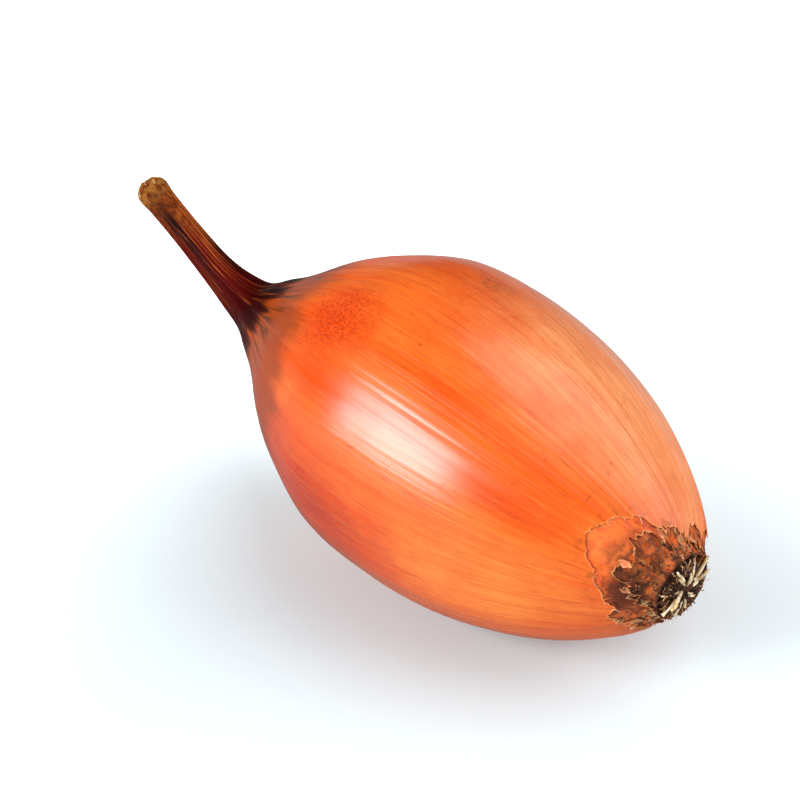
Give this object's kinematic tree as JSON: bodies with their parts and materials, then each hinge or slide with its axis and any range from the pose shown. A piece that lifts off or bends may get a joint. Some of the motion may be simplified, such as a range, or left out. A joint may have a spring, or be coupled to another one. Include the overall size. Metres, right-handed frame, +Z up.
{
  "type": "onion",
  "caption": "Long copper-skinned onion lying on its side: papery bulb tapering to a dry bent neck at one end and a corky root plate with short dry rootlets at the other.",
  "frame": {"origin": "middle of the flat spot that the bulb rests on", "axes": "+Z up from the surface it lies on, +X along the bulb towards its root end, +Y completing the right-handed frame"},
  "size_m": [0.1161, 0.0482, 0.0478],
  "materials": {
    "skin": "satin",
    "root": "matte"
  },
  "bodies": {
    "root": {"bulb": "skin", "root_plate": "root"}
  },
  "joints": []
}
